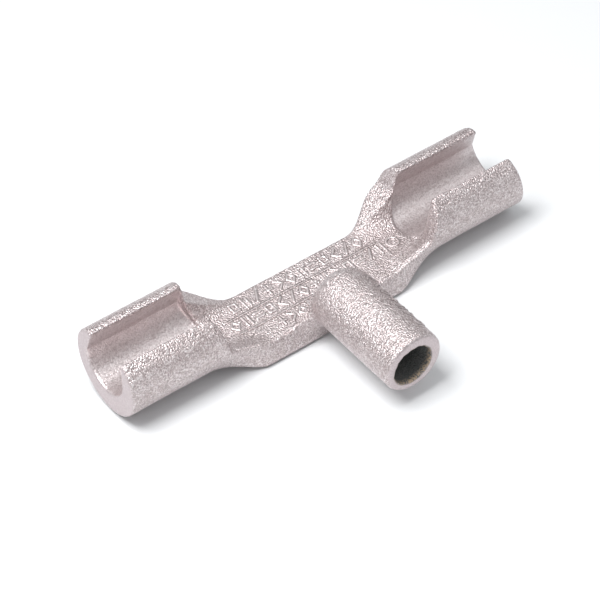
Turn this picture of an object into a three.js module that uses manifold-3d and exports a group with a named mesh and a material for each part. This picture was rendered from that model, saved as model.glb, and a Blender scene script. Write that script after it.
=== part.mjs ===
import * as THREE from 'three';
import { mergeVertices } from 'three/addons/utils/BufferGeometryUtils.js';
import Module from 'manifold-3d';

const wasm = await Module();
wasm.setup();

// Millimetres. +X runs along the crossbar, the socket stub points to -Y, +Z is the open side of
// the cradles. The origin is under the middle of the whole casting, on the plane it rests on. The
// shapes are drawn with the stub at x = 0 and moved to that origin at the end.

// Crossbar
const halfLength = 125;
const barY = 32.35;
const lipZ = 45;

// The right end face leans outwards below this height
const rightLean = 0.2;
const rightLeanZ = 42;

// Centre web, a flat bar that is lower than the cradles
const webFaceZ = 15.5;
const webFarY = barY + 14.2;
const webNearY = barY - 25.5;
const webNearDraft = 2;
const webHalfLength = 40;
const webBottomEdge = 4;
const webTopEdge = 2.5;
const webStartAngle = 12;

// Cradles, each a round bar that is opened along its top by a trough
const cradleRadius = 25;
const cradleZ = 27;
const cradleStart = 73;
const lipOuterAngle = 33;
const troughRadius = 15.8;
const troughY = barY + 0.7;
const troughZ = 29.8;
const troughStart = 63;
const troughLean = 0.2;
const troughClearance = 10;

// How much longer the right half is than the left one, at the bottom of its end face
const rightReach = rightLean * (rightLeanZ - (cradleZ - cradleRadius));

// The top of each lip from its outer side to its inner one, as [distance from barY, z]
const farLip = [[16.5, 44.1], [13.4, lipZ], [12.2, 44.3], [11.6, 42.2]];
const nearLip = [[18.3, 43.2], [16, lipZ], [15.1, 44.2], [15.1, 42.2]];

// Ramps, which rise from the web face to a ledge, and the steps from there to the lips
const rampStart = 40;
const farLedge = 0.64;
const farRampPower = 1.5;
const farStep = [67, 70.5];
const nearLedge = 0.32;
const nearRampPower = 1;
const nearStep = [63.5, 72.5];
const farSkin = [36, 62];
const nearSkin = [40, 73];
const dishPower = 3;
const rampStations = 8;
const stepStations = 12;

// Socket stub
const stubRadius = 17.3;
const stubZ = 28;
const stubEndY = -57.35;
const stubRootY = barY - 22;
const stubRootRounding = 8;
const stubEndRounding = 3;
const stubSplitY = barY - 38;
const boreRadius = 11.5;
const boreX = -1;
const boreZ = stubZ - 0.6;
const boreFloorY = barY - 32.35;
const boreEdge = 0.8;
const boreClearance = 5;
const skirtHalfWidth = 27;
const skirtCoreRadius = 12.3;
const skirtInset = 0.6;
const skirtRootY = webNearY + 2;
const skirtStations = 6;

// Raised marks on the web face
const markHeight = 0.8;
const markWidth = 1.5;
const markDepth = 7;
const markPitch = 6;

// How finely the round surfaces are divided
const skinSteps = 34;
const troughSteps = 20;
const stubSteps = 72;
const roundingSteps = 6;

const ease = THREE.MathUtils.smoothstep;
const mix = THREE.MathUtils.lerp;
const clamp = THREE.MathUtils.clamp;
const radians = THREE.MathUtils.degToRad;

function mixPoints(a, b, t) {
  return [mix(a[0], b[0], t), mix(a[1], b[1], t)];
}

// A solid from a three.js geometry that is closed and faces out.
function solidOf(geometry) {
  const bare = geometry.clone();
  bare.deleteAttribute('normal');
  bare.deleteAttribute('uv');
  const merged = mergeVertices(bare, 1e-4);
  return new wasm.Manifold(
    new wasm.Mesh({
      numProp: 3,
      vertProperties: merged.attributes.position.array,
      triVerts: new Uint32Array(merged.index.array),
    }),
  );
}

// A named mesh from a solid.
function meshOf(name, solid, material) {
  const { vertProperties, triVerts } = solid.getMesh();
  const geometry = new THREE.BufferGeometry();
  geometry.setAttribute('position', new THREE.BufferAttribute(vertProperties, 3));
  geometry.setIndex(new THREE.BufferAttribute(triVerts, 1));
  geometry.computeVertexNormals();
  const mesh = new THREE.Mesh(geometry, material);
  mesh.name = name;
  return mesh;
}

// A solid through a row of rings, each a list of [x, y, z] with the same number of points. The
// outline in flat is the shape of the first and last ring, which are filled in as end faces.
function loft(rings, flat) {
  const count = rings[0].length;
  const positions = rings.flat(2);
  const index = [];
  for (let ring = 0; ring + 1 < rings.length; ring++) {
    for (let i = 0; i < count; i++) {
      const next = (i + 1) % count;
      const a = ring * count + i;
      const b = ring * count + next;
      index.push(a, a + count, b, b, a + count, b + count);
    }
  }
  const last = (rings.length - 1) * count;
  for (const [end, start] of [[0, 0], [rings.length - 1, last]]) {
    const outline = rings[end].map((point) => new THREE.Vector2(...flat(point)));
    for (const [a, b, c] of THREE.ShapeUtils.triangulateShape(outline, [])) {
      index.push(start + a, start + (end ? b : c), start + (end ? c : b));
    }
  }
  const geometry = new THREE.BufferGeometry();
  geometry.setAttribute('position', new THREE.Float32BufferAttribute(positions, 3));
  geometry.setIndex(index);
  return solidOf(geometry);
}

const across = ([, y, z]) => [y, z];
const along = ([x, , z]) => [x, z];

function box(x, y, z) {
  const geometry = new THREE.BoxGeometry(x[1] - x[0], y[1] - y[0], z[1] - z[0]);
  geometry.translate((x[0] + x[1]) / 2, (y[0] + y[1]) / 2, (z[0] + z[1]) / 2);
  return solidOf(geometry);
}

// The cradle's outer skin from the far lip round the bottom to the near lip, as [y, z].
function cradleSkin() {
  return Array.from({ length: skinSteps + 1 }, (_, i) => {
    const angle = radians(mix(lipOuterAngle, -180 - lipOuterAngle, i / skinSteps));
    return [barY + cradleRadius * Math.cos(angle), cradleZ + cradleRadius * Math.sin(angle)];
  });
}

// The web's sides and bottom, point for point beside the cradle's skin: a rectangle met by rays
// from its middle, with its two bottom edges rounded and its near wall leaning out at the bottom.
function webSkin() {
  const middleY = (webFarY + webNearY) / 2;
  const middleZ = webFaceZ / 2;
  const halfY = (webFarY - webNearY) / 2;
  const coreHalfY = halfY - webBottomEdge;
  const coreBottom = webBottomEdge - middleZ;
  return Array.from({ length: skinSteps + 1 }, (_, i) => {
    const angle = radians(mix(webStartAngle, -180 - webStartAngle, i / skinSteps));
    const cosine = Math.cos(angle);
    const sine = Math.sin(angle);
    const reach = Math.min(halfY / Math.abs(cosine), middleZ / Math.abs(sine));
    const y = reach * cosine;
    const z = reach * sine;
    const coreY = clamp(y, -coreHalfY, coreHalfY);
    const coreZ = Math.max(z, coreBottom);
    const scale = webBottomEdge / Math.hypot(y - coreY, z - coreZ);
    const skinY = coreY + scale * (y - coreY);
    const skinZ = middleZ + coreZ + scale * (z - coreZ);
    const draft = webNearDraft * (1 - skinZ / webFaceZ) * Math.max(0, -skinY / halfY);
    return [middleY + skinY - draft, skinZ];
  });
}

// The top of one cradle lip, from its outer side to its inner one, as [y, z]. Side is 1 for the
// far lip and -1 for the near one.
function lipCrown(side) {
  const lip = side > 0 ? farLip : nearLip;
  return lip.map(([away, z]) => [barY + side * away, z]);
}

// The rounded top edge of the web, point for point beside a lip crown.
function webCrown(side) {
  const edgeY = side > 0 ? webFarY : webNearY;
  return [0, 1, 2, 3].map((i) => {
    const angle = (i / 3) * (Math.PI / 2);
    return [
      edgeY - side * webTopEdge * (1 - Math.cos(angle)),
      webFaceZ - webTopEdge * (1 - Math.sin(angle)),
    ];
  });
}

// The trough's half round, from the near wall to the far one, as [y, z].
function troughOutline() {
  return Array.from({ length: troughSteps + 1 }, (_, i) => {
    const angle = Math.PI * (1 + i / troughSteps);
    return [troughY + troughRadius * Math.cos(angle), troughZ + troughRadius * Math.sin(angle)];
  });
}

// How far the top has risen at x, from 0 on the web to 1 on a lip: a ramp, then a step.
function riseAt(x, ledge, power, [low, high]) {
  const along = clamp((x - rampStart) / (high - rampStart), 0, 1);
  return mix(ledge * along ** power, 1, ease(x, low, high));
}

// One ring of the bar. On the web it has the web's outline, and from cradleStart on the cradle's.
// The skin's ends rise with the lips and its bottom is an even blend, the far side widens before it
// rises, and the top between the lips is dished.
function barRing(x) {
  const far = riseAt(x, farLedge, farRampPower, farStep);
  const near = riseAt(x, nearLedge, nearRampPower, nearStep);
  const web = webSkin();
  const farWidth = ease(x, ...farSkin);
  const skin = cradleSkin().map(([y, z], i) => {
    const share = i / skinSteps;
    const bottom = Math.sin(Math.PI * share);
    const even = mix(farWidth, ease(x, ...nearSkin), share);
    const width = mix(mix(farWidth, near, share), even, bottom);
    const height = mix(mix(far, near, share), even, bottom);
    return [mix(web[i][0], y, width), mix(web[i][1], z, height)];
  });
  const farWeb = webCrown(1);
  const nearWeb = webCrown(-1);
  const farCrown = lipCrown(1).map((point, i) => mixPoints(farWeb[i], point, far));
  const nearCrown = lipCrown(-1).map((point, i) => mixPoints(nearWeb[i], point, near));
  const [nearY, nearZ] = nearCrown[3];
  const [farY, farZ] = farCrown[3];
  const dish = [];
  for (let i = 1; i < troughSteps; i++) {
    const y = mix(nearY, farY, i / troughSteps);
    const [edgeY, edgeZ] = y < barY ? [nearY, nearZ] : [farY, farZ];
    dish.push([y, mix(webFaceZ, edgeZ, ((y - barY) / (edgeY - barY)) ** dishPower)]);
  }
  const outline = [...farCrown.reverse(), ...skin, ...nearCrown, ...dish];
  return outline.map(([y, z]) => [x, y, z]);
}

// One ring of the cradle. Lean is how fast it moves outwards towards the bottom.
function cradleRing(x, lean) {
  const outline = [
    ...lipCrown(1).reverse(),
    ...cradleSkin(),
    ...lipCrown(-1),
    ...troughOutline(),
  ];
  return outline.map(([y, z]) => [x + lean * (rightLeanZ - z), y, z]);
}

// What the trough takes out of the neck. Its inner end leans with the ends of the lips.
function troughCutter() {
  const [farInner, farInnerZ] = farLip[3];
  const [nearInner, nearInnerZ] = nearLip[3];
  const outline = [
    [barY + farInner, lipZ + troughClearance],
    [barY + farInner, farInnerZ],
    ...troughOutline().reverse(),
    [barY - nearInner, nearInnerZ],
    [barY - nearInner, lipZ + troughClearance],
  ];
  const floorZ = troughZ - troughRadius;
  const inner = outline.map(([y, z]) => [troughStart + (z - floorZ) * troughLean, y, z]);
  const outer = outline.map(([y, z]) => [halfLength, y, z]);
  return loft([inner, outer], across);
}

function neck() {
  const xs = [];
  for (let i = 0; i < rampStations; i++) {
    xs.push(mix(webHalfLength, nearStep[0], i / rampStations));
  }
  for (let i = 0; i <= stepStations; i++) {
    xs.push(mix(nearStep[0], cradleStart, i / stepStations));
  }
  return loft(xs.map(barRing), across).subtract(troughCutter());
}

function cradle(lean) {
  return loft([cradleRing(cradleStart, 0), cradleRing(halfLength, lean)], across);
}

// A profile of [radius, y] points, from its +Y end to its -Y end, turned about a line along Y.
function turned(profile, x, z) {
  const geometry = new THREE.LatheGeometry([...profile].reverse(), stubSteps);
  geometry.translate(x, 0, z);
  return solidOf(geometry);
}

// The stub's round body, solid, with both ends rounded over.
function stubBody() {
  const profile = [new THREE.Vector2(0, stubRootY)];
  for (let i = 0; i <= roundingSteps; i++) {
    const angle = (i / roundingSteps) * (Math.PI / 2);
    profile.push(new THREE.Vector2(
      stubRadius - stubRootRounding * (1 - Math.sin(angle)),
      stubRootY - stubRootRounding * (1 - Math.cos(angle)),
    ));
  }
  for (let i = 0; i <= roundingSteps; i++) {
    const angle = (i / roundingSteps) * (Math.PI / 2);
    profile.push(new THREE.Vector2(
      stubRadius - stubEndRounding * (1 - Math.cos(angle)),
      stubEndY + stubEndRounding * (1 - Math.sin(angle)),
    ));
  }
  profile.push(new THREE.Vector2(0, stubEndY));
  return turned(profile, 0, stubZ);
}

// The blind round bore, with a broken edge at its mouth.
function boreSpace() {
  const beyondY = stubEndY - boreClearance;
  const profile = [
    new THREE.Vector2(0, boreFloorY),
    new THREE.Vector2(boreRadius, boreFloorY),
    new THREE.Vector2(boreRadius, stubEndY + boreEdge),
    new THREE.Vector2(boreRadius + boreEdge, stubEndY),
    new THREE.Vector2(boreRadius + boreEdge, beyondY),
    new THREE.Vector2(0, beyondY),
  ];
  return turned(profile, boreX, boreZ);
}

// The skirt that spreads the stub's sides and underside into the near wall of the web. Its core is
// hidden in the stub, and its lower half widens towards the web.
function skirt() {
  const rings = Array.from({ length: skirtStations + 1 }, (_, station) => {
    const t = station / skirtStations;
    const spread = (1 - t) ** 2;
    return Array.from({ length: stubSteps }, (_, i) => {
      const angle = (-2 * Math.PI * i) / stubSteps;
      const cosine = Math.cos(angle);
      const sine = Math.sin(angle);
      const round = [skirtCoreRadius * cosine, stubZ + skirtCoreRadius * sine];
      const wide = [
        skirtHalfWidth * Math.sign(cosine) * Math.sqrt(Math.abs(cosine)),
        mix(webFaceZ - skirtInset, skirtInset, Math.sqrt(Math.abs(sine))),
      ];
      const [x, z] = sine < 0 ? mixPoints(round, wide, spread) : round;
      return [x, mix(skirtRootY, stubSplitY, t), z];
    });
  });
  return loft(rings, along);
}

// Rows of plain upright bars between two ribs, where the casting carries its raised marks.
function webMarks() {
  const rows = [
    { y: barY + 5.5, from: -36, to: 36 },
    { y: barY - 5, from: -36, to: 36 },
    { y: barY - 16, from: -30, to: -6 },
  ];
  const z = [webFaceZ - 1, webFaceZ + markHeight];
  const bars = [];
  for (const { y, from, to } of rows) {
    for (let x = from; x <= to; x += markPitch) {
      bars.push(box([x - markWidth / 2, x + markWidth / 2], [y - markDepth / 2, y + markDepth / 2], z));
    }
  }
  return bars;
}

function webBar() {
  const outline = barRing(0);
  const ringAt = (x) => outline.map(([, y, z]) => [x, y, z]);
  return loft([ringAt(-webHalfLength), ringAt(webHalfLength)], across);
}

// Everything on the stub's side of the plane that divides it from the web.
function beyondSplit() {
  const reach = 2 * halfLength;
  return box([-reach, reach], [-reach, stubSplitY], [-reach, reach]);
}

const rightNeck = neck();
const leftNeck = rightNeck.mirror([1, 0, 0]);
const rightCradle = cradle(rightLean);
const leftCradle = cradle(0).mirror([1, 0, 0]);
const stub = stubBody();
const bore = boreSpace();
const socketStub = stub.intersect(beyondSplit()).subtract(bore);
const centreWeb = [stub.subtract(beyondSplit()), skirt(), ...webMarks()]
  .reduce((whole, piece) => whole.add(piece), webBar())
  .subtract(bore);

const colours = {
  cast: 0xb9b0b0,
  satin: 0xc4bdbd,
};
const metal = (color) => new THREE.MeshStandardMaterial({ color, roughness: 0.5, metalness: 0.8 });

const casting = new THREE.Group();
casting.position.x = -rightReach / 2;
casting.add(
  meshOf('centre_web', centreWeb, metal(colours.cast)),
  meshOf('right_neck', rightNeck, metal(colours.cast)),
  meshOf('left_neck', leftNeck, metal(colours.cast)),
  meshOf('right_cradle', rightCradle, metal(colours.satin)),
  meshOf('left_cradle', leftCradle, metal(colours.satin)),
  meshOf('socket_stub', socketStub, metal(colours.cast)),
);

const wrench = new THREE.Group();
wrench.add(casting);

export default wrench;
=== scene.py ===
"""The looks of a cast hydrant wrench: one continuous casting, its coat and wear, and a plain studio.

Lengths inside the shape code are millimetres, with the stub at x = 0 as in the CAD, and move to the
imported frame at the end. The shape is a field that is negative inside the metal, and the mesh is
drawn where the field is zero.
"""

import bpy
import numpy as np
from mathutils import Matrix, Vector


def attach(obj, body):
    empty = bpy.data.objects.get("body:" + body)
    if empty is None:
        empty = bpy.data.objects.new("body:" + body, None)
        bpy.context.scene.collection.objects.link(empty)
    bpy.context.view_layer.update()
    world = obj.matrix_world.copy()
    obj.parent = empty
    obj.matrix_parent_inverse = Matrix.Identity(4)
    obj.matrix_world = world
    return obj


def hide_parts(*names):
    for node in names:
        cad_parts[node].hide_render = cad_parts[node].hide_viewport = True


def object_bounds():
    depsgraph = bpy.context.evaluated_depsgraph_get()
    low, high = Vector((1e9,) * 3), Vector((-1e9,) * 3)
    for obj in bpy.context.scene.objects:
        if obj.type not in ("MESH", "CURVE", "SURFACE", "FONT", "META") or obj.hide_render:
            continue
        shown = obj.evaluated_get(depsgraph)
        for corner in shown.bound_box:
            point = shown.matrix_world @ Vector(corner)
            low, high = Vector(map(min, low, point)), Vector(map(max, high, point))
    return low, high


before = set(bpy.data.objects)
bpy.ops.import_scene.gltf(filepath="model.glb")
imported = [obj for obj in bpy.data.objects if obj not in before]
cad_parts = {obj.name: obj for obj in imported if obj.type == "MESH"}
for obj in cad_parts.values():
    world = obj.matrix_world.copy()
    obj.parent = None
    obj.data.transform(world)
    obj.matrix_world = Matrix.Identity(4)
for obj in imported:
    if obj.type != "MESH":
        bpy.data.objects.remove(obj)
cad_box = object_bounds()

MM = 0.001

# Crossbar and web
HALF_LENGTH = 125.0
BAR_Y = 32.35
LIP_Z = 45.0
WEB_FACE_Z = 15.5
WEB_FAR_Y = BAR_Y + 14.2
WEB_NEAR_Y = BAR_Y - 25.5
WEB_BOTTOM_EDGE = 4.5
WEB_TOP_EDGE = 1.8
NEAR_DRAFT = 2.0

# Cradles
CRADLE_RADIUS = 25.0
CRADLE_Z = 27.0
LIP_EDGE = 1.4

# The right end face leans outwards below this height, which makes the right half longer
RIGHT_LEAN = 0.2
RIGHT_LEAN_Z = 42.0
RIGHT_REACH = RIGHT_LEAN * (RIGHT_LEAN_Z - (CRADLE_Z - CRADLE_RADIUS))
FRAME_X = -RIGHT_REACH / 2.0

# Ramps from the web to the lips, each with the height of its ledge, its curve and the step's ends
RAMP_START = 40.0
FAR_LEDGE, FAR_POWER, FAR_STEP = 0.64, 1.5, (67.0, 70.5)
NEAR_LEDGE, NEAR_POWER, NEAR_STEP = 0.32, 1.0, (63.5, 72.5)
FAR_SPREAD, NEAR_SPREAD = (36.0, 62.0), (42.0, 76.0)
DISH_POWER = 3.0
FAR_DISH_EDGE = 12.0
NEAR_DISH_EDGES = (23.0, 15.0)

# The slope outside each lip, as the distance from BAR_Y and the height of its top, and its degrees
FAR_CROWN = (16.5, 44.1, 38.0)
NEAR_CROWN = (15.9, 45.0, 40.0)

# Troughs
TROUGH_RADIUS = 15.8
TROUGH_SIDE = 0.7
TROUGH_Z = 29.8
TROUGH_FLOOR_Z = TROUGH_Z - TROUGH_RADIUS
TROUGH_START = 63.0
TROUGH_LEAN = 0.2
TROUGH_END_BOW = 2.5
TROUGH_END_HALF_WIDTH = 15.0
FAR_WALL_LEAN = 0.395
NEAR_WALL = -15.1

# Socket stub
STUB_RADIUS = 17.3
STUB_Z = 28.0
STUB_END_Y = -57.35
STUB_ROOT_Y = BAR_Y - 22.0
STUB_ROOT_ROUNDING = 12.8
STUB_END_ROUNDING = 3.0
BORE_RADIUS = 11.5
BORE_X = -1.0
BORE_Z = STUB_Z - 0.6
BORE_FLOOR_Y = 0.0
BORE_CHIP = 0.45

# Skirt, which spreads the lower half of the stub into the near wall of the web
SKIRT_ROOT_Y = WEB_NEAR_Y + 2.0
SKIRT_END_Y = BAR_Y - 38.0
SKIRT_HALF_WIDTH = 27.0
SKIRT_CORE_RADIUS = 12.3
SKIRT_INSET = 0.6
SKIRT_SQUARENESS = 4.0

# How far the mould's waves and grains move the skin, as (height, size of a lump)
SKIN_NOISE = ((0.07, 11.0), (0.03, 3.6), (0.03, 1.5))

# Camera: degrees, then metres along its own axes from a point above the crossbar
CAMERA_TURN = (-36.96, 45.33, -0.41)
CAMERA_AIM = (FRAME_X * MM, BAR_Y * MM, 0.0445)
CAMERA_BACK, CAMERA_RIGHT, CAMERA_UP = 1.20965, -0.00264, -0.03051
CAMERA_SENSOR_MM = 36.0
CAMERA_LENS_MM = 141.67

# Colours
SILVER = (0.56, 0.475, 0.475, 1)
SILVER_PALE = (0.62, 0.54, 0.54, 1)
PATCH_PALE = (0.80, 0.74, 0.74, 1)
PATCH_DARK = (0.36, 0.29, 0.285, 1)
# The glint colour below is a painted highlight for the grain's raised tops, and the pit colours are painted
# shade for its hollows
GLINT = (0.98, 0.94, 0.94, 1)
PAINTED_PIT_SHADE = (0.22, 0.17, 0.165, 1)
SATIN = (0.66, 0.59, 0.59, 1)
SATIN_PALE = (0.76, 0.70, 0.70, 1)
SATIN_PAINTED_PIT_SHADE = (0.30, 0.25, 0.245, 1)
END_FACE = (0.52, 0.45, 0.46, 1)
# Painted shade for the sides of the raised marks and a painted highlight for their tops
MARK_SIDE_SHADE = (0.16, 0.12, 0.115, 1)
MARK_TOP_HIGHLIGHT = (0.74, 0.675, 0.675, 1)
BORE_DARK = (0.125, 0.13, 0.128, 1)
BORE_PALE = (0.17, 0.17, 0.165, 1)
RUST = (0.46, 0.35, 0.25, 1)
FLOOR_COLOUR = (0.74, 0.75, 0.76, 1)
ROOM_COLOUR = (0.97, 0.985, 1.0, 1)

# Studio, in metres
FLOOR_HALF_SIZE = 3.0
FLOOR_Z = -0.0002


# ---------------------------------------------------------------- plain helpers


def ease(low, high, value):
    """0 below low, 1 above high, and a smooth step between."""
    t = np.clip((value - low) / (high - low), 0.0, 1.0)
    return t * t * (3.0 - 2.0 * t)


def mix(a, b, t):
    return a + (b - a) * t


def join(a, b, radius):
    """Union of two fields with a fillet."""
    h = np.clip(0.5 + 0.5 * (b - a) / radius, 0.0, 1.0)
    return mix(b, a, h) - radius * h * (1.0 - h)


def cut(a, b, radius):
    """What both fields hold, with a rounded edge."""
    return -join(-a, -b, radius)


def hashed(ix, iy, iz, seed):
    """A number from 0 to 1 for each lattice point."""
    n = ix * 374761393 + iy * 668265263 + iz * 2147483647 + seed * 974634777
    n = (n ^ (n >> 13)) * 1274126177
    n = n ^ (n >> 16)
    return (n & 0xFFFF) / 65535.0


def noise(points, size, seed):
    """Smooth noise from -1 to 1, with lumps of about the given size."""
    scaled = points / size
    base = np.floor(scaled).astype(np.int64)
    t = scaled - base
    t = t * t * (3.0 - 2.0 * t)
    total = np.zeros(len(points))
    for corner in range(8):
        step = np.array([corner & 1, corner >> 1 & 1, corner >> 2 & 1])
        weight = np.prod(np.where(step, t, 1.0 - t), axis=1)
        cell = base + step
        total += weight * hashed(cell[:, 0], cell[:, 1], cell[:, 2], seed)
    return 2.0 * total - 1.0


# ---------------------------------------------------------------- raised marks

# Plain geometric marks as strokes in a box 1 wide and 1 high, none of them a letter or a digit.
MARKS = [
    [((0.1, 0.1), (0.9, 0.1)), ((0.9, 0.1), (0.9, 0.9)), ((0.9, 0.9), (0.1, 0.9)), ((0.1, 0.9), (0.1, 0.1))],
    [((0.2, 0.0), (0.2, 1.0)), ((0.8, 0.0), (0.8, 1.0))],
    [((0.1, 0.0), (0.9, 0.5)), ((0.9, 0.5), (0.1, 1.0))],
    [((0.0, 0.5), (1.0, 0.5)), ((0.5, 0.0), (0.5, 1.0))],
    [((0.1, 0.0), (0.9, 1.0))],
    [((0.5, 0.0), (1.0, 0.5)), ((1.0, 0.5), (0.5, 1.0)), ((0.5, 1.0), (0.0, 0.5)), ((0.0, 0.5), (0.5, 0.0))],
    [((0.0, 0.25), (1.0, 0.25)), ((0.0, 0.75), (1.0, 0.75))],
    [((0.9, 0.0), (0.1, 0.5)), ((0.1, 0.5), (0.9, 1.0))],
]
ORDER = [0, 1, 4, 3, 2, 5, 1, 6, 0, 7, 4, 5, 3, 1, 2, 0, 6, 4, 1, 5]
STROKE = 0.62
STROKE_SIDES = (STROKE * 0.6, STROKE * 1.5)
MARK_HEIGHT = 0.75
STUB_MARK_HEIGHT = 0.5

# Rows of marks, as the place of the left lower corner, how many, pitch, size of one, first in ORDER
WEB_ROWS = [
    ((-44.0, BAR_Y + 2.6), 12, 7.3, (4.6, 6.8), 0),
    ((-51.0, BAR_Y - 8.6), 14, 7.3, (4.6, 6.8), 5),
    ((-29.0, BAR_Y - 19.4), 4, 6.4, (4.0, 5.8), 3),
]
STUB_ROW = ((4.0, 0.0), 7, 6.6, (4.2, 6.4), 9)
STUB_ROW_DEGREES = 52.0

# Ribs between the rows, as (y, left end, right end), and a plain ring at the end of a row
WEB_RIBS = [(BAR_Y - 0.2, -50.0, 46.0), (BAR_Y - 11.2, -50.0, 22.0)]
RIB_HEIGHT = 0.6
RING_X, RING_Y = 54.0, BAR_Y - 5.0
RING_RADIUS = 3.4


def stroke_height(u, v, start, end):
    """1 on a stroke from start to end, 0 away from it, with soft sides."""
    du, dv = end[0] - start[0], end[1] - start[1]
    along = np.clip(((u - start[0]) * du + (v - start[1]) * dv) / (du * du + dv * dv), 0.0, 1.0)
    away = np.hypot(u - start[0] - along * du, v - start[1] - along * dv)
    return 1.0 - ease(*STROKE_SIDES, away)


def mark_row(u, v, start, count, pitch, size, first):
    """A row of marks from start along u, standing on v = start[1]."""
    height = np.zeros(np.broadcast(u, v).shape)
    for i in range(count):
        left = start[0] + i * pitch
        for a, b in MARKS[ORDER[(first + i) % len(ORDER)]]:
            ends = [(left + p[0] * size[0], start[1] + p[1] * size[1]) for p in (a, b)]
            height = np.maximum(height, stroke_height(u, v, *ends))
    return height


def web_marks(x, y):
    """The raised marks on the web face, in two long rows and a short one, with ribs between."""
    height = 1.0 - ease(*STROKE_SIDES, np.abs(np.hypot(x - RING_X, y - RING_Y) - RING_RADIUS))
    for row in WEB_ROWS:
        height = np.maximum(height, mark_row(x, y, *row))
    for rib_y, left, right in WEB_RIBS:
        height = np.maximum(height, RIB_HEIGHT * stroke_height(x, y, (left, rib_y), (right, rib_y)))
    return height


def stub_marks(x, y, z):
    """One row of raised marks along the stub, a little to the right of its top."""
    turn = np.arctan2(x, z - STUB_Z)
    return mark_row(-y, STUB_RADIUS * (np.deg2rad(STUB_ROW_DEGREES) - turn), *STUB_ROW)


# ---------------------------------------------------------------- shape of the casting


def trough_field(side, z):
    """Negative inside the trough's outline: a half round, an upright near wall and a leaning far one."""
    lean = np.arctan(FAR_WALL_LEAN)
    far = (side - TROUGH_SIDE - TROUGH_RADIUS) * np.cos(lean) + (z - TROUGH_Z) * np.sin(lean)
    bowl = np.hypot(side - TROUGH_SIDE, z - TROUGH_Z) - TROUGH_RADIUS
    return np.where(z > TROUGH_Z, np.maximum(far, NEAR_WALL - side), bowl)


def rise(x, ledge, power, step):
    """How far the top has risen, from 0 on the web to 1 on a lip: a ramp, then a step."""
    along = np.clip((x - RAMP_START) / (step[1] - RAMP_START), 0.0, 1.0)
    return mix(ledge * along**power, 1.0, ease(*step, x))


def top_height(x, side):
    """How high the metal reaches: flat on the web, dished ramps, then the lips' tops."""
    far = rise(x, FAR_LEDGE, FAR_POWER, FAR_STEP)
    near = rise(x, NEAR_LEDGE, NEAR_POWER, NEAR_STEP)
    edge = np.where(side > 0.0, FAR_DISH_EDGE, mix(*NEAR_DISH_EDGES, near))
    reach = np.clip(np.abs(side) / edge, 0.0, 1.0) ** DISH_POWER
    reach = mix(reach, 1.0, ease(FAR_STEP[1] - 2.0, NEAR_STEP[1], x))
    return mix(WEB_FACE_Z, LIP_Z, np.where(side > 0.0, far, near) * reach)


def crown_field(side, z):
    """The slopes on the outer sides of the two lips."""
    planes = []
    for sign, (away, height, degrees) in ((1, FAR_CROWN), (-1, NEAR_CROWN)):
        slope = np.deg2rad(degrees)
        planes.append((sign * side - away) * np.sin(slope) + (z - height) * np.cos(slope))
    return np.maximum(*planes)


def bar_field(x, y, z, end):
    """The crossbar, before the stub: outer walls, top and troughs. End is positive past its ends."""
    side = y - BAR_Y
    half_y = (WEB_FAR_Y - WEB_NEAR_Y) / 2.0
    middle_y = (WEB_FAR_Y + WEB_NEAR_Y) / 2.0
    lean = NEAR_DRAFT * (1.0 - z / WEB_FACE_Z) * (y < middle_y)
    wall = np.abs(y - middle_y) - half_y - np.clip(lean, 0.0, NEAR_DRAFT)
    web = cut(wall, -z, WEB_BOTTOM_EDGE)
    cradle = np.hypot(side, z - CRADLE_Z) - CRADLE_RADIUS
    share = mix(ease(*NEAR_SPREAD, x), ease(*FAR_SPREAD, x), ease(-10.0, 10.0, y - middle_y))
    skin = mix(web, cradle, share)
    top = cut((z - top_height(x, side)) * 0.85, crown_field(side, z), 1.5)
    lid = cut(top, end, 2.5)
    body = cut(skin, lid, mix(WEB_TOP_EDGE, LIP_EDGE, ease(50.0, 74.0, x)))
    bow = TROUGH_END_BOW * (side / TROUGH_END_HALF_WIDTH) ** 2
    inner = TROUGH_START + (z - TROUGH_FLOOR_Z) * TROUGH_LEAN + bow
    hollow = cut(trough_field(side, z), (inner - x) * 0.97, 1.5)
    return cut(body, -hollow, 1.3)


def stub_field(x, y, z):
    """The stub's solid round body, rounded over at both ends."""
    side = np.hypot(x, z - STUB_Z) - STUB_RADIUS
    body = cut(side, y - STUB_ROOT_Y, STUB_ROOT_ROUNDING)
    return cut(body, STUB_END_Y - y, STUB_END_ROUNDING)


def skirt_field(x, y, z):
    """The skirt: wide and as low as the web at its root, then narrowing to the stub's core."""
    spread = np.clip((y - SKIRT_END_Y) / (SKIRT_ROOT_Y - SKIRT_END_Y), 0.0, 1.0) ** 2.0
    half_width = mix(SKIRT_CORE_RADIUS, SKIRT_HALF_WIDTH, spread)
    widest_z = mix(STUB_Z, WEB_FACE_Z - SKIRT_INSET, spread)
    depth = mix(SKIRT_CORE_RADIUS, WEB_FACE_Z - 2.0 * SKIRT_INSET, spread)
    squareness = mix(2.0, SKIRT_SQUARENESS, spread)
    across = (np.abs(x) / half_width) ** squareness
    down = (np.clip(widest_z - z, 0.0, None) / depth) ** squareness
    below = ((across + down) ** (1.0 / squareness) - 1.0) * depth
    rise_share = np.clip((z - widest_z) / np.maximum(STUB_Z - widest_z, 0.1), 0.0, 1.0)
    above = (np.abs(x) - mix(half_width, SKIRT_CORE_RADIUS, rise_share)) * 0.7
    sides = np.where(z < widest_z, below, above)
    ends = np.maximum(y - SKIRT_ROOT_Y, SKIRT_END_Y - y)
    return np.maximum(np.maximum(sides, ends), z - STUB_Z)


def bore_field(x, y, z):
    """The blind bore, with a mouth that is chipped where the core was broken out."""
    radius = np.hypot(x - BORE_X, z - BORE_Z)
    turn = np.arctan2(z - BORE_Z, x - BORE_X)
    chips = np.sin(5.0 * turn + 1.0) * np.sin(11.0 * turn) * ease(4.0, 0.0, y - STUB_END_Y)
    return cut(radius - BORE_RADIUS - BORE_CHIP * chips, y - BORE_FLOOR_Y, 2.0)


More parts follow.
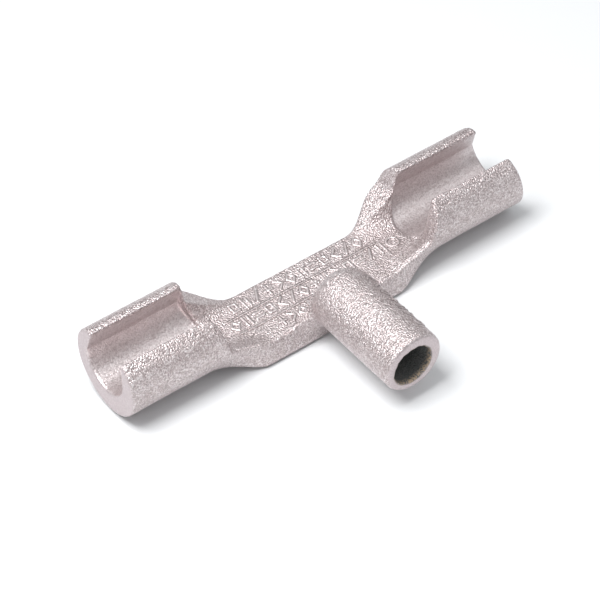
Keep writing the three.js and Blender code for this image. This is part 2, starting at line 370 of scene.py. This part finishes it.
def casting_field(x, y, z):
    """The whole casting. The bar is drawn once and mirrored, but its two ends slope differently."""
    right_end = (x + RIGHT_LEAN * (z - RIGHT_LEAN_Z) - HALF_LENGTH) / np.hypot(1.0, RIGHT_LEAN)
    end = np.where(x > 0.0, right_end, -x - HALF_LENGTH)
    bar = bar_field(np.abs(x), y, z, end)
    on_face = ease(10.0, 17.0, z)
    stub = join(stub_field(x, y, z), skirt_field(x, y, z), 3.0)
    body = join(bar, stub, mix(4.0, 2.6, on_face))
    return cut(body, -bore_field(x, y, z), 1.0)


def spaced(*stretches):
    """Grid positions from stretches of (start, end, step)."""
    parts = []
    for start, end, step in stretches:
        count = int(round((end - start) / step))
        parts.append(start + (end - start) * np.arange(count) / count)
    parts.append(np.array([stretches[-1][1]]))
    return np.concatenate(parts)


def surface(xs, ys, zs, values):
    """A mesh of quads where the values cross zero, as surface nets draw it."""
    inside = values < 0.0
    shape = tuple(n - 1 for n in values.shape)
    total = np.zeros(shape + (3,), dtype=np.float32)
    hits = np.zeros(shape, dtype=np.float32)
    axes = (xs, ys, zs)
    for axis in range(3):
        others = [a for a in range(3) if a != axis]
        low = [slice(None)] * 3
        high = [slice(None)] * 3
        low[axis], high[axis] = slice(None, -1), slice(1, None)
        a, b = values[tuple(low)], values[tuple(high)]
        crossed = inside[tuple(low)] != inside[tuple(high)]
        t = np.where(crossed, a / np.where(crossed, a - b, 1.0), 0.0)
        for step in range(4):
            offset = {others[0]: step & 1, others[1]: step >> 1}
            pick = [slice(None)] * 3
            for other in others:
                pick[other] = slice(offset[other], offset[other] + shape[other])
            here = crossed[tuple(pick)]
            hits += here
            for k in range(3):
                line = axes[k]
                reach = [1, 1, 1]
                reach[k] = shape[k]
                if k == axis:
                    start = line[:-1].reshape(reach)
                    width = np.diff(line).reshape(reach)
                    total[..., k] += here * (start + width * t[tuple(pick)])
                else:
                    total[..., k] += here * line[offset[k]:offset[k] + shape[k]].reshape(reach)
    used = hits > 0
    number = np.full(shape, -1, dtype=np.int64)
    number[used] = np.arange(used.sum())
    vertices = total[used] / hits[used][:, None]
    faces = []
    for axis in range(3):
        b, c = [a for a in range(3) if a != axis]
        low = [slice(1, -1)] * 3
        high = [slice(1, -1)] * 3
        low[axis], high[axis] = slice(None, -1), slice(1, None)
        first, second = inside[tuple(low)], inside[tuple(high)]
        for entering in (True, False):
            edge = np.argwhere(second & ~first if entering else first & ~second)
            edge[:, b] += 1
            edge[:, c] += 1
            ring = []
            for step_b, step_c in ((0, 0), (1, 0), (1, 1), (0, 1)):
                cell = edge.copy()
                cell[:, b] -= step_b
                cell[:, c] -= step_c
                ring.append(number[cell[:, 0], cell[:, 1], cell[:, 2]])
            quad = np.stack(ring, axis=1)
            faces.append(quad if entering == (axis == 1) else quad[:, ::-1])
    return vertices.astype(np.float64), np.concatenate(faces)


def vertex_normals(vertices, faces):
    diagonal_a = vertices[faces[:, 2]] - vertices[faces[:, 0]]
    diagonal_b = vertices[faces[:, 3]] - vertices[faces[:, 1]]
    face_normals = np.cross(diagonal_a, diagonal_b)
    normals = np.zeros_like(vertices)
    for corner in range(4):
        for k in range(3):
            normals[:, k] += np.bincount(faces[:, corner], face_normals[:, k], len(vertices))
    return normals / np.linalg.norm(normals, axis=1)[:, None]


def cast_surface():
    """The casting's vertices and quads, on a grid that is finest at the web's raised marks."""
    xs = spaced((-127, -62, 0.8), (-62, 62, 0.45), (62, 135, 0.8))
    ys = spaced((-59.3, -51, 0.6), (-51, 5, 0.8), (5, 47, 0.45), (47, 59.3, 0.7))
    zs = spaced((-1.5, 12.5, 0.9), (12.5, 18.5, 0.45), (18.5, 38, 0.8), (38, 47.3, 0.5))
    x, y, z = xs[:, None, None], ys[None, :, None], zs[None, None, :]
    return surface(xs, ys, zs, casting_field(x, y, z).astype(np.float32))


def masks(points, normals):
    """Where the surface is trough, bore, end face, web face or rusty rim, each from 0 to 1."""
    x, y, z = points.T
    a = np.abs(x)
    in_trough = ease(-0.6, 0.5, -np.abs(trough_field(y - BAR_Y, z)) + 0.9)
    in_trough *= ease(TROUGH_START - 1.0, TROUGH_START + 2.0, a - (z - TROUGH_FLOOR_Z) * TROUGH_LEAN)
    in_trough *= ease(LIP_Z - 1.5, LIP_Z - 4.0, z)
    radius = np.hypot(x, z - STUB_Z)
    from_bore = np.hypot(x - BORE_X, z - BORE_Z) - BORE_RADIUS
    in_bore = ease(0.9, 0.1, from_bore) * ease(6.0, 2.0, y)
    on_end = ease(0.7, 0.9, np.abs(normals[:, 0])) * (a > HALF_LENGTH - 2.0)
    on_stub_end = ease(STUB_END_Y + 1.5, STUB_END_Y + 0.3, y) * (radius < STUB_RADIUS + 0.7)
    on_end = np.maximum(on_end, on_stub_end)
    on_face = ease(0.75, 0.95, normals[:, 2]) * ease(WEB_FACE_Z + 3.0, WEB_FACE_Z + 1.5, z)
    on_face *= ease(60.0, 56.0, a) * ease(6.0, 9.0, y)
    rust = in_bore * ease(STUB_END_Y + 4.5, STUB_END_Y + 1.0, y)
    return in_trough, in_bore, on_end, on_face, rust


def raised_marks(vertices, on_face, in_bore, on_end):
    """How far the marks on the web and on the stub are raised, each from 0 to 1."""
    x, y, z = vertices.T
    from_axis = np.hypot(x, z - STUB_Z) - STUB_RADIUS
    on_stub = (y < 4.0) * (from_axis < 1.0) * (from_axis > -1.5) * (1.0 - in_bore) * (1.0 - on_end)
    return on_face * web_marks(x, y), on_stub * stub_marks(x, y, z)


def build_casting():
    """The casting's mesh, with its marks and rough skin, and its masks as point attributes."""
    vertices, faces = cast_surface()
    normals = vertex_normals(vertices, faces)
    in_trough, in_bore, on_end, on_face, rust = masks(vertices, normals)
    web_raised, stub_raised = raised_marks(vertices, on_face, in_bore, on_end)
    marks = np.maximum(web_raised, stub_raised)
    rough = (1.0 - np.maximum(0.85 * in_trough, 0.6 * on_end)) * (1.0 - 0.6 * marks)
    skin = sum(high * noise(vertices, size, i + 1) for i, (high, size) in enumerate(SKIN_NOISE))
    move = MARK_HEIGHT * web_raised + STUB_MARK_HEIGHT * stub_raised + skin * rough
    vertices = vertices + normals * move[:, None] + (FRAME_X, 0.0, 0.0)
    low, high = np.array(cad_box) / MM
    vertices = np.clip(vertices, low, high)
    mesh = bpy.data.meshes.new("casting")
    mesh.vertices.add(len(vertices))
    mesh.vertices.foreach_set("co", (vertices * MM).astype(np.float32).ravel())
    mesh.loops.add(faces.size)
    mesh.loops.foreach_set("vertex_index", faces.astype(np.int32).ravel())
    mesh.polygons.add(len(faces))
    mesh.polygons.foreach_set("loop_start", np.arange(0, faces.size, 4, dtype=np.int32))
    mesh.update(calc_edges=True)
    mesh.validate()
    mesh.polygons.foreach_set("use_smooth", np.ones(len(mesh.polygons), dtype=bool))
    layers = {"trough": in_trough, "bore": in_bore, "end": on_end, "mark": marks, "rust": rust}
    for name, value in layers.items():
        layer = mesh.attributes.new(name, "FLOAT", "POINT")
        layer.data.foreach_set("value", value.astype(np.float32))
    casting = bpy.data.objects.new("casting", mesh)
    bpy.context.scene.collection.objects.link(casting)
    return casting


# ---------------------------------------------------------------- material


class Nodes:
    """Short calls for building one node tree."""

    def __init__(self, material):
        material.use_nodes = True
        self.tree = material.node_tree
        self.tree.nodes.clear()

    def add(self, kind, inputs=None, **settings):
        node = self.tree.nodes.new(kind)
        for key, value in settings.items():
            setattr(node, key, value)
        for key, value in (inputs or {}).items():
            self.put(node.inputs[key], value)
        return node

    def put(self, socket, value):
        if isinstance(value, bpy.types.NodeSocket):
            self.tree.links.new(value, socket)
        else:
            socket.default_value = value

    def attribute(self, name):
        return self.add("ShaderNodeAttribute", attribute_name=name).outputs["Fac"]

    def math(self, operation, a, b=0.0):
        node = self.add("ShaderNodeMath", operation=operation)
        self.put(node.inputs[0], a)
        self.put(node.inputs[1], b)
        return node.outputs[0]

    def spread(self, value, low, high, to_low=0.0, to_high=1.0):
        inputs = {"Value": value, "From Min": low, "From Max": high, "To Min": to_low, "To Max": to_high}
        return self.add("ShaderNodeMapRange", inputs, clamp=True).outputs["Result"]

    def blend(self, share, a, b):
        node = self.add("ShaderNodeMix", data_type="RGBA")
        self.put(node.inputs[0], share)
        self.put(node.inputs[6], a)
        self.put(node.inputs[7], b)
        return node.outputs[2]

    def noise(self, coords, scale, detail=2.0, roughness=0.5):
        inputs = {"Vector": coords, "Scale": scale, "Detail": detail, "Roughness": roughness}
        return self.add("ShaderNodeTexNoise", inputs).outputs["Fac"]


def cast_material():
    """Silvery coat on rough sand-cast iron, with a dark bore, brown specks and duller hollows, and painted
    highlights and painted shade on the grain and the raised marks.
    """
    material = bpy.data.materials.new("zinc_coated_cast_iron")
    n = Nodes(material)
    coords = n.add("ShaderNodeTexCoord").outputs["Object"]
    trough, bore, end = n.attribute("trough"), n.attribute("bore"), n.attribute("end")
    mark, rust = n.attribute("mark"), n.attribute("rust")

    broad = n.noise(coords, 40.0)
    mottle = n.noise(coords, 420.0)
    grain = n.noise(coords, 1150.0, 1.0)
    smooth_share = n.math("MAXIMUM", n.math("MULTIPLY", trough, 0.7), n.math("MULTIPLY", end, 0.7))

    silver = n.blend(n.spread(broad, 0.35, 0.65), SILVER, SILVER_PALE)
    silver = n.blend(n.spread(mottle, 0.50, 0.72, 0.0, 0.35), silver, PATCH_PALE)
    silver = n.blend(n.spread(mottle, 0.30, 0.48, 0.30, 0.0), silver, PATCH_DARK)
    # Painted highlights on the grain's high points and painted shade in its low points, from the noise that
    # also drives the bump
    silver = n.blend(n.spread(grain, 0.52, 0.68, 0.0, 0.65), silver, GLINT)
    silver = n.blend(n.spread(grain, 0.34, 0.48, 0.45, 0.0), silver, PAINTED_PIT_SHADE)
    satin = n.blend(n.spread(mottle, 0.3, 0.7), SATIN, SATIN_PALE)
    # Painted shade in the hollows of the satin's grain
    satin = n.blend(n.spread(grain, 0.34, 0.49, 0.30, 0.0), satin, SATIN_PAINTED_PIT_SHADE)
    satin = n.blend(end, satin, END_FACE)
    colour = n.blend(smooth_share, silver, satin)
    # Painted shade on the sides of the raised marks, then a painted highlight on their tops
    outline = n.math("MULTIPLY", n.spread(mark, 0.02, 0.25), n.spread(mark, 0.30, 0.60, 1.0, 0.0))
    colour = n.blend(n.math("MULTIPLY", outline, 0.9), colour, MARK_SIDE_SHADE)
    colour = n.blend(n.spread(mark, 0.45, 0.8, 0.0, 0.6), colour, MARK_TOP_HIGHLIGHT)
    dark = n.blend(n.spread(mottle, 0.3, 0.7), BORE_DARK, BORE_PALE)
    colour = n.blend(bore, colour, dark)
    specks = n.math("MULTIPLY", rust, n.spread(grain, 0.44, 0.54))
    colour = n.blend(specks, colour, RUST)

    roughness = n.spread(grain, 0.3, 0.7, 0.30, 0.44)
    roughness = n.math("ADD", roughness, n.math("MULTIPLY", bore, 0.35))

    height = n.math("ADD", n.math("MULTIPLY", grain, 1.4), n.math("MULTIPLY", mottle, 0.5))
    smoother = n.math("MAXIMUM", smooth_share, n.math("MULTIPLY", mark, 0.6))
    strength = n.spread(smoother, 0.0, 0.7, 0.75, 0.25)
    bump = n.add("ShaderNodeBump", {"Strength": strength, "Distance": 0.0009, "Height": height})
    shader = n.add(
        "ShaderNodeBsdfPrincipled",
        {"Base Color": colour, "Roughness": roughness, "Metallic": n.spread(bore, 0.0, 1.0, 0.8, 0.1),
         "Normal": bump.outputs["Normal"]},
    )
    output = n.add("ShaderNodeOutputMaterial")
    n.put(output.inputs["Surface"], shader.outputs["BSDF"])
    return material


# ---------------------------------------------------------------- studio


def add_floor():
    """A pale sheet that the wrench lies on."""
    mesh = bpy.data.meshes.new("floor")
    size = FLOOR_HALF_SIZE
    corners = [(-size, -size), (size, -size), (size, size), (-size, size)]
    mesh.from_pydata([(x, y, FLOOR_Z) for x, y in corners], [], [(0, 1, 2, 3)])
    floor = bpy.data.objects.new("floor", mesh)
    bpy.context.scene.collection.objects.link(floor)
    material = bpy.data.materials.new("pale_floor")
    n = Nodes(material)
    shader = n.add("ShaderNodeBsdfPrincipled", {"Base Color": FLOOR_COLOUR, "Roughness": 0.9})
    output = n.add("ShaderNodeOutputMaterial")
    n.put(output.inputs["Surface"], shader.outputs["BSDF"])
    mesh.materials.append(material)


def add_light(name, place, target, size, power):
    data = bpy.data.lights.new(name, "AREA")
    data.shape = "RECTANGLE"
    data.size, data.size_y = size
    data.energy = power
    light = bpy.data.objects.new(name, data)
    light.location = place
    light.rotation_euler = (Vector(target) - Vector(place)).to_track_quat("-Z", "Y").to_euler()
    bpy.context.scene.collection.objects.link(light)


def add_world():
    """A soft white room, brightest overhead, so that the rough coat has something to catch."""
    world = bpy.data.worlds.new("studio")
    n = Nodes(world)
    direction = n.add("ShaderNodeTexCoord").outputs["Generated"]
    height = n.add("ShaderNodeSeparateXYZ", {"Vector": direction}).outputs["Z"]
    glow = n.spread(height, 0.0, 0.9, 0.16, 0.84)
    background = n.add("ShaderNodeBackground", {"Color": ROOM_COLOUR, "Strength": glow})
    output = n.add("ShaderNodeOutputWorld")
    n.put(output.inputs["Surface"], background.outputs["Background"])
    bpy.context.scene.world = world


def add_studio():
    add_world()
    middle = (0.0, 0.0, 0.02)
    add_light("key", (-0.45, 0.0, 1.05), middle, (0.5, 0.5), 13.5)
    add_light("fill", (0.7, -0.4, 0.8), middle, (0.8, 0.6), 0.5)


def add_camera():
    """The camera, placed by its direction, its roll and its distance from the crossbar."""
    azimuth, elevation, roll = np.deg2rad(CAMERA_TURN)
    flat = np.cos(elevation)
    back = Vector((np.sin(azimuth) * flat, -np.cos(azimuth) * flat, np.sin(elevation)))
    level = Vector((np.cos(azimuth), np.sin(azimuth), 0.0))
    upright = back.cross(level)
    right = level * np.cos(roll) + upright * np.sin(roll)
    up = upright * np.cos(roll) - level * np.sin(roll)
    place = Vector(CAMERA_AIM) + back * CAMERA_BACK + right * CAMERA_RIGHT + up * CAMERA_UP
    data = bpy.data.cameras.new("camera")
    data.sensor_width = CAMERA_SENSOR_MM
    data.lens = CAMERA_LENS_MM
    camera = bpy.data.objects.new("camera", data)
    turn = Matrix((right, up, back)).transposed().to_4x4()
    camera.matrix_world = Matrix.Translation(place) @ turn
    bpy.context.scene.collection.objects.link(camera)
    bpy.context.scene.camera = camera


add_camera()
add_floor()
add_studio()
casting = build_casting()
casting.data.materials.append(cast_material())
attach(casting, "root")
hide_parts("centre_web", "left_neck", "right_neck", "left_cradle", "right_cradle", "socket_stub")

bpy.context.scene.view_settings.view_transform = "Standard"
